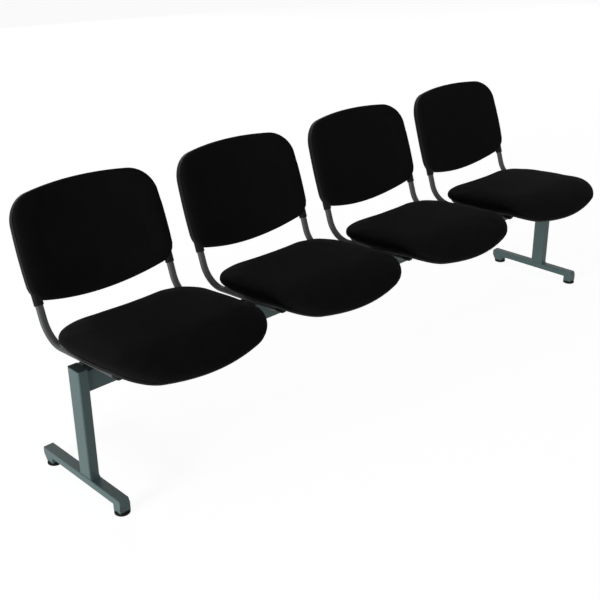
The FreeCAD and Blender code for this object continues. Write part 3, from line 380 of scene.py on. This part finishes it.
def swell(obj, free, rise_limit):
    """Blows the piece up as cloth under pressure, held where it isn't free, and evens out its rise."""
    home = obj.data
    cloth_mesh = home.copy()
    obj.data = cloth_mesh
    pinned = obj.vertex_groups.new(name="held")
    pinned.add([vertex.index for vertex in home.vertices if free(vertex.co) == 0], 1.0, "REPLACE")
    cloth = obj.modifiers.new("cloth", "CLOTH")
    settings = cloth.settings
    settings.quality = 4
    settings.mass = 0.3
    settings.tension_stiffness = 40
    settings.compression_stiffness = 40
    settings.shear_stiffness = 20
    settings.bending_stiffness = 8
    settings.use_pressure = True
    settings.uniform_pressure_force = 4
    settings.vertex_group_mass = "held"
    settings.effector_weights.gravity = 0
    cloth.point_cache.frame_start = 1
    cloth.point_cache.frame_end = CLOTH_FRAMES
    for step in range(1, CLOTH_FRAMES + 1):
        bpy.context.scene.frame_set(step)
    blown = applied(obj)
    obj.modifiers.clear()
    obj.vertex_groups.clear()
    bpy.context.scene.frame_set(1)
    rises = []
    for vertex, moved in zip(home.vertices, blown.vertices):
        rise = (moved.co - vertex.co).dot(vertex.normal)
        rises.append(rise_limit * math.tanh(rise / rise_limit))
    moves = [vertex.normal * rise
             for vertex, rise in zip(home.vertices, evened(home, rises, CLOTH_ROUNDS))]
    for vertex, move in zip(home.vertices, moves):
        vertex.co += move
    obj.data = home


def padded_form(form, free, voxel):
    """Simulated cushion of an outline's form, as a mesh in the frame of its place."""
    shape = bpy.data.objects.new("shape", form())
    obj = bpy.data.objects.new("form", shape.data.copy())
    for made in (shape, obj):
        bpy.context.scene.collection.objects.link(made)
    bpy.context.view_layer.update()
    on_shape = {"target": shape, "wrap_method": "NEAREST_SURFACEPOINT"}
    rebuilt(obj, ("REMESH", {"mode": "VOXEL", "voxel_size": voxel}),
            ("SMOOTH", {"factor": 0.5, "iterations": 2}), ("SHRINKWRAP", on_shape))
    swell(obj, free, CLOTH_RISE)
    rebuilt(obj, ("SUBSURF", {"levels": 1}))
    mesh = obj.data
    bpy.data.objects.remove(obj)
    bpy.data.objects.remove(shape)
    return mesh


def soft_dips(mesh, seed, free):
    """Moves the free surface by shallow dips, as foam under cloth has."""
    shift = Vector((7.3, 3.1, 5.7)) * seed
    moves = [vertex.normal * (DIP_DEPTH * free(vertex.co) * noise.noise(vertex.co / DIP_LENGTH + shift))
             for vertex in mesh.vertices]
    for vertex, move in zip(mesh.vertices, moves):
        vertex.co += move


def place_cushion(mesh, name, matrix, seed, free):
    """One cushion of the row, in the place of its CAD solid."""
    own = mesh.copy()
    soft_dips(own, seed, free)
    own.shade_smooth()
    own.materials.clear()
    own.materials.append(FINISHES["upholstery"])
    cushion = bpy.data.objects.new("padded_" + name, own)
    bpy.context.scene.collection.objects.link(cushion)
    cushion.matrix_world = matrix
    bpy.context.view_layer.update()
    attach(cushion, "bench")
    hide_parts(name)


# Welds
def bead_loop(half_width, half_depth, corner):
    """Points at even steps round a rounded rectangle, each with its outward direction."""
    straight_w, straight_d = 2 * (half_width - corner), 2 * (half_depth - corner)
    quarter = corner * math.pi / 2
    around = 2 * straight_w + 2 * straight_d + 4 * quarter
    count = round(around / BEAD_STEP)
    step = around / count
    found = []
    for number in range(count):
        left = number * step
        for side in range(4):
            straight = straight_w if side % 2 == 0 else straight_d
            along = Matrix.Rotation(side * math.pi / 2, 2)
            reach = half_depth if side % 2 == 0 else half_width
            if left < straight:
                found.append((along @ Vector((left - straight / 2, -reach)), along @ Vector((0, -1))))
                break
            left -= straight
            if left < quarter:
                turn = left / corner
                out = Vector((math.sin(turn), -math.cos(turn)))
                centre = Vector((straight / 2, corner - reach))
                found.append((along @ (centre + out * corner), along @ out))
                break
            left -= quarter
    return found


def weld_bead(loop, radius, matrix):
    """Points and faces of a rippled fillet of weld round a loop, lying on its plane."""
    points = []
    for number, (place, out) in enumerate(loop):
        uneven = noise.noise(Vector((number * 0.37, 5, 1)))
        local = radius * (1 + 0.10 * math.sin(number * 2.1) + 0.06 * uneven)
        for rib in range(BEAD_RIBS):
            angle = rib / BEAD_RIBS * 2 * math.pi
            flat = place + out * (math.cos(angle) * local)
            points.append(matrix @ Vector((flat.x, flat.y, math.sin(angle) * local)))
    faces = []
    for number in range(len(loop)):
        here, following = number * BEAD_RIBS, (number + 1) % len(loop) * BEAD_RIBS
        for rib in range(BEAD_RIBS):
            beside = (rib + 1) % BEAD_RIBS
            faces.append((here + rib, following + rib, following + beside, here + beside))
    return points, faces


def place_welds(name, beads, slot_name):
    """One piece that holds several beads."""
    points, faces = [], []
    for bead_points, bead_faces in beads:
        first = len(points)
        points += bead_points
        faces += [tuple(first + corner for corner in face) for face in bead_faces]
    mesh = bpy.data.meshes.new(name)
    mesh.from_pydata([tuple(point) for point in points], [], faces)
    mesh.update()
    mesh.shade_smooth()
    mesh.materials.append(FINISHES[slot_name])
    welds = bpy.data.objects.new(name, mesh)
    bpy.context.scene.collection.objects.link(welds)
    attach(welds, "bench")


# Materials
class Finish:
    """A material, with short calls that add and join its nodes."""

    def __init__(self, name, **constants):
        self.material = bpy.data.materials.new(name)
        self.material.use_nodes = True
        self.tree = self.material.node_tree
        self.shader = self.tree.nodes["Principled BSDF"]
        for socket, setting in constants.items():
            self.shader.inputs[socket.replace("_", " ")].default_value = setting

    def node(self, kind, inputs=(), **settings):
        """Adds a node; an input is a number, a colour or another node's output."""
        made = self.tree.nodes.new("ShaderNode" + kind)
        for key, setting in settings.items():
            setattr(made, key, setting)
        for key, source in dict(inputs).items():
            if isinstance(source, bpy.types.NodeSocket):
                self.tree.links.new(source, made.inputs[key])
            else:
                made.inputs[key].default_value = source
        return made

    def math(self, operation, first, second=0.0):
        """Output of a Math node."""
        return self.node("Math", {0: first, 1: second}, operation=operation).outputs[0]

    def noise(self, scale, detail=2.0, roughness=0.5, where=None):
        """Output of a noise with that many features per metre."""
        inputs = {"Scale": scale, "Detail": detail, "Roughness": roughness,
                  "Vector": where or self.place()}
        return self.node("TexNoise", inputs).outputs["Fac"]

    def place(self):
        """Coordinates in the object's own frame."""
        return self.node("TexCoord").outputs["Object"]

    def stretch(self, where, x, y, z):
        """Coordinates times a factor on each axis."""
        return self.node("VectorMath", {0: where, 1: (x, y, z)}, operation="MULTIPLY").outputs[0]

    def over(self, source, level, share):
        """A share where a value is over a level, else 0."""
        return self.math("MULTIPLY", self.math("GREATER_THAN", source, level), share)

    def between(self, share, low, high):
        """Value from low to high as the share goes from 0 to 1."""
        inputs = {"Value": share, "To Min": low, "To Max": high}
        return self.node("MapRange", inputs).outputs["Result"]

    def blend(self, share, first, second):
        """Colour between two colours."""
        mix = self.node("Mix", {"Factor": share}, data_type="RGBA")
        for socket, colour in ((mix.inputs[6], first), (mix.inputs[7], second)):
            if isinstance(colour, bpy.types.NodeSocket):
                self.tree.links.new(colour, socket)
            else:
                socket.default_value = (*colour, 1)
        return mix.outputs[2]

    def set(self, socket, source):
        """Joins an output to a socket of the shader."""
        self.tree.links.new(source, self.shader.inputs[socket])

    def bump(self, height, distance, strength=1.0, under=None):
        """Normal that a height gives, on top of another bump."""
        inputs = {"Height": height, "Distance": distance, "Strength": strength}
        if under is not None:
            inputs["Normal"] = under
        return self.node("Bump", inputs).outputs["Normal"]


def woven_cloth():
    """Black wool-like plain weave: threads with painted shade in their hollows, loose fibres and a soft sheen."""
    cloth = Finish("upholstery_cloth", Roughness=0.95, Specular_IOR_Level=0.03, Sheen_Weight=0.035,
                   Sheen_Roughness=0.45, Sheen_Tint=(0.62, 0.60, 0.64, 1))
    where = cloth.place()
    turns = 2 * math.pi / THREAD_PITCH
    turned = cloth.stretch(where, turns, turns, turns)
    across = cloth.node("SeparateXYZ", {0: turned})
    waves = [cloth.math("SINE", across.outputs[i]) for i in range(3)]
    normal = cloth.node("TexCoord").outputs["Normal"]
    facing = cloth.node("VectorMath", {0: normal, 1: normal}, operation="MULTIPLY").outputs[0]
    share = cloth.node("SeparateXYZ", {0: facing})
    weave = 0.0
    for axis, (first, second) in enumerate(((1, 2), (0, 2), (0, 1))):
        crossing = cloth.math("MULTIPLY", waves[first], waves[second])
        weave = cloth.math("ADD", cloth.math("MULTIPLY", crossing, share.outputs[axis]), weave)
    fibres = cloth.noise(2600, 3, 0.6, where)
    slubs = cloth.noise(260, 3, 0.6, where)
    clouds = cloth.noise(14, 2, 0.5, where)
    light = cloth.blend(cloth.between(slubs, 0.0, 1.0), CLOTH_DARK, CLOTH_LIGHT)
    worn = cloth.blend(cloth.between(clouds, 0.0, 0.35), light, CLOTH_WORN)
    # Painted shade: the base colour darkens in the hollows of the weave, where the thread bump is low
    hollow_shade = cloth.between(weave, 0.35, 0.0)
    cloth.set("Base Color", cloth.blend(hollow_shade, worn, CLOTH_HOLLOW_SHADE))
    threads = cloth.bump(weave, 0.00022, 0.55)
    cloth.set("Normal", cloth.bump(fibres, 0.00015, 0.35, threads))
    return cloth.material


def moulded_plastic(name, dark, light):
    """Polypropylene with a fine leathery grain."""
    plastic = Finish(name, Specular_IOR_Level=0.10)
    where = plastic.place()
    cells = plastic.node("TexVoronoi", {"Vector": where, "Scale": 900.0}, feature="F1").outputs[0]
    grain = plastic.noise(1700, 3, 0.55, where)
    clouds = plastic.noise(25, 3, 0.5, where)
    plastic.set("Base Color", plastic.blend(clouds, dark, light))
    plastic.set("Roughness", plastic.between(clouds, 0.50, 0.66))
    leather = plastic.bump(cells, 0.00012, 0.4)
    plastic.set("Normal", plastic.bump(grain, 0.00008, 0.4, leather))
    return plastic.material


def satin_paint(name, colour, scuff):
    """Baked satin paint on steel: slight orange peel, handled patches, scuffs near the floor."""
    paint = Finish(name, Specular_IOR_Level=0.25, Coat_Weight=0.06, Coat_Roughness=0.25)
    where = paint.place()
    peel = paint.noise(850, 2, 0.45, where)
    patches = paint.noise(9, 4, 0.6, where)
    specks = paint.noise(2300, 2, 0.7, where)
    darker = tuple(part * 0.88 for part in colour)
    lighter = tuple(min(1.0, part * 1.10) for part in colour)
    base = paint.blend(paint.between(patches, 0.1, 0.9), darker, lighter)
    grainy = paint.blend(paint.over(specks, 0.68, 0.35), base, darker)
    height = paint.node("SeparateXYZ", {0: where}).outputs[2]
    near_floor = paint.node("MapRange", {"Value": height, "From Min": 0.02, "From Max": 0.06,
                                         "To Min": 1.0, "To Max": 0.0}).outputs["Result"]
    marks = paint.over(paint.noise(120, 5, 0.7, where), 0.58, scuff)
    wear = paint.math("MULTIPLY", near_floor, marks)
    paint.set("Base Color", paint.blend(wear, grainy, tuple(part * 0.55 for part in colour)))
    paint.set("Roughness", paint.between(patches, 0.36, 0.52))
    paint.set("Normal", paint.bump(peel, 0.00010, 0.35))
    return paint.material


def zinc_plate():
    """Bright zinc on turned and pressed steel, with faint turning marks."""
    zinc = Finish("zinc_plate", Metallic=1.0)
    where = zinc.place()
    clouds = zinc.noise(160, 3, 0.6, where)
    marks = zinc.noise(4200, 2, 0.5, where)
    zinc.set("Base Color", zinc.blend(clouds, (0.52, 0.53, 0.55), (0.68, 0.67, 0.62)))
    zinc.set("Roughness", zinc.between(clouds, 0.24, 0.42))
    zinc.set("Normal", zinc.bump(marks, 0.00005, 0.3))
    return zinc.material


def beech_plywood():
    """Raw beech plywood: long grain with short dark flecks."""
    wood = Finish("beech_plywood", Roughness=0.6, Specular_IOR_Level=0.3)
    where = wood.stretch(wood.place(), 1.0, 14.0, 14.0)
    grain = wood.noise(9, 5, 0.6, where)
    flecks = wood.noise(60, 2, 0.5, where)
    base = wood.blend(grain, (0.46, 0.29, 0.15), (0.62, 0.43, 0.25))
    wood.set("Base Color", wood.blend(wood.over(flecks, 0.66, 0.5), base, (0.30, 0.17, 0.08)))
    wood.set("Normal", wood.bump(grain, 0.0002, 0.3))
    return wood.material


FINISHES = {
    "upholstery": woven_cloth(),
    "black_plastic": moulded_plastic("black_moulding", (0.007, 0.007, 0.008), (0.014, 0.014, 0.015)),
    "grey_plastic": moulded_plastic("grey_moulding", (0.070, 0.092, 0.090), (0.090, 0.115, 0.112)),
    "frame_paint": satin_paint("frame_paint", (0.105, 0.108, 0.108), 0.0),
    "leg_paint": satin_paint("leg_paint", (0.122, 0.187, 0.187), 0.6),
    "zinc_steel": zinc_plate(),
    "plywood": beech_plywood(),
}
for part in frame["record"]["subparts"]:
    mesh = frame["nodes"][part["node"]].data
    mesh.materials.clear()
    mesh.materials.append(FINISHES[part["material_slot"]])

seat_pad = padded_form(seat_form, seat_free, SEAT_VOXEL)
back_pad = padded_form(back_form, back_free, BACK_VOXEL)
for index in range(PLACES):
    number = index + 1
    place_cushion(seat_pad, f"seat_cushion_{number}", seat_matrix(index), number, seat_free)
    place_cushion(back_pad, f"back_cushion_{number}", back_matrix(index), number + BACK_SEED,
                  back_free)

column_loop = bead_loop(*COLUMN_SECTION)
column_feet = [Matrix.Translation((x, BEAM_Y, FOOT_TOP)) for x in (-LEG_X, LEG_X)]
place_welds("leg_welds", [weld_bead(column_loop, COLUMN_BEAD, foot) for foot in column_feet],
            "leg_paint")
bar_loop = bead_loop(*BAR_SECTION)
on_side = Matrix.Rotation(math.pi / 2, 4, "Y")
bar_ends = [Matrix.Translation((x, y, -BAR_DROP)) @ on_side for x in (-BAR_END, BAR_END) for y in BARS]
place_welds("frame_welds", [weld_bead(bar_loop, BAR_BEAD, seat_matrix(index) @ end)
                            for index in range(PLACES) for end in bar_ends], "frame_paint")


# Stage
def seen_directly(tree):
    """1 for camera, glossy and transmission rays, and 0 for the others."""
    rays = tree.nodes.new("ShaderNodeLightPath").outputs
    share = rays["Is Camera Ray"]
    for kind in ("Is Glossy Ray", "Is Transmission Ray"):
        either = tree.nodes.new("ShaderNodeMath")
        either.operation = "MAXIMUM"
        tree.links.new(share, either.inputs[0])
        tree.links.new(rays[kind], either.inputs[1])
        share = either.outputs[0]
    return share


def make_floor():
    """Pale floor that keeps the object's soft shadow and looks white to the camera."""
    mesh = bpy.data.meshes.new("floor")
    corners = [(x * FLOOR_REACH, y * FLOOR_REACH, 0) for x, y in ((-1, -1), (1, -1), (1, 1), (-1, 1))]
    mesh.from_pydata(corners, [], [(0, 1, 2, 3)])
    floor = bpy.data.objects.new("floor", mesh)
    bpy.context.scene.collection.objects.link(floor)
    material = bpy.data.materials.new("floor")
    material.use_nodes = True
    tree = material.node_tree
    tree.nodes.clear()
    plain = tree.nodes.new("ShaderNodeBsdfDiffuse")
    plain.inputs["Color"].default_value = (FLOOR_GREY, FLOOR_GREY, FLOOR_GREY, 1)
    glow = tree.nodes.new("ShaderNodeEmission")
    glow.inputs["Color"].default_value = (1, 1, 1, 1)
    glow.inputs["Strength"].default_value = FLOOR_GLOW
    both = tree.nodes.new("ShaderNodeAddShader")
    tree.links.new(plain.outputs[0], both.inputs[0])
    tree.links.new(glow.outputs[0], both.inputs[1])
    choice = tree.nodes.new("ShaderNodeMixShader")
    tree.links.new(seen_directly(tree), choice.inputs["Fac"])
    tree.links.new(plain.outputs[0], choice.inputs[1])
    tree.links.new(both.outputs[0], choice.inputs[2])
    output = tree.nodes.new("ShaderNodeOutputMaterial")
    tree.links.new(choice.outputs[0], output.inputs["Surface"])
    mesh.materials.append(material)


def make_world():
    """White to the camera and in reflections, an even grey as light."""
    world = bpy.data.worlds.new("studio")
    bpy.context.scene.world = world
    world.use_nodes = True
    tree = world.node_tree
    sky = tree.nodes["Background"]
    sky.inputs["Color"].default_value = (1, 1, 1, 1)
    level = tree.nodes.new("ShaderNodeMapRange")
    level.inputs["To Min"].default_value = WORLD_LIGHT
    level.inputs["To Max"].default_value = 1.0
    tree.links.new(seen_directly(tree), level.inputs["Value"])
    tree.links.new(level.outputs["Result"], sky.inputs["Strength"])


def area_light(name, place, target, width, height, power):
    """Soft lamp that looks at a point."""
    lamp = bpy.data.lights.new(name, "AREA")
    lamp.shape = "RECTANGLE"
    lamp.size = width
    lamp.size_y = height
    lamp.energy = power
    light = bpy.data.objects.new(name, lamp)
    light.location = place
    light.rotation_euler = (Vector(target) - Vector(place)).to_track_quat("-Z", "Y").to_euler()
    bpy.context.scene.collection.objects.link(light)


def make_camera():
    """Camera at the eye level of the photograph."""
    azimuth, elevation, roll = (math.radians(angle) for angle in CAMERA_TURN)
    back = Vector((math.sin(azimuth) * math.cos(elevation), -math.cos(azimuth) * math.cos(elevation),
                   math.sin(elevation)))
    right = Vector((math.cos(azimuth), math.sin(azimuth), 0))
    up = back.cross(right)
    leaned_right = right * math.cos(roll) + up * math.sin(roll)
    leaned_up = up * math.cos(roll) - right * math.sin(roll)
    turn = Matrix((leaned_right, leaned_up, back)).transposed().to_4x4()
    lens = bpy.data.cameras.new("camera")
    lens.sensor_width = SENSOR_WIDTH
    lens.lens = CAMERA_FOCAL * SENSOR_WIDTH
    camera = bpy.data.objects.new("camera", lens)
    camera.matrix_world = Matrix.Translation(CAMERA_PLACE + Vector((0, BEAM_Y, 0))) @ turn
    bpy.context.scene.collection.objects.link(camera)
    bpy.context.scene.camera = camera


make_floor()
make_world()
for lamp in LAMPS:
    area_light(*lamp)
make_camera()
bpy.context.scene.view_settings.view_transform = "Standard"
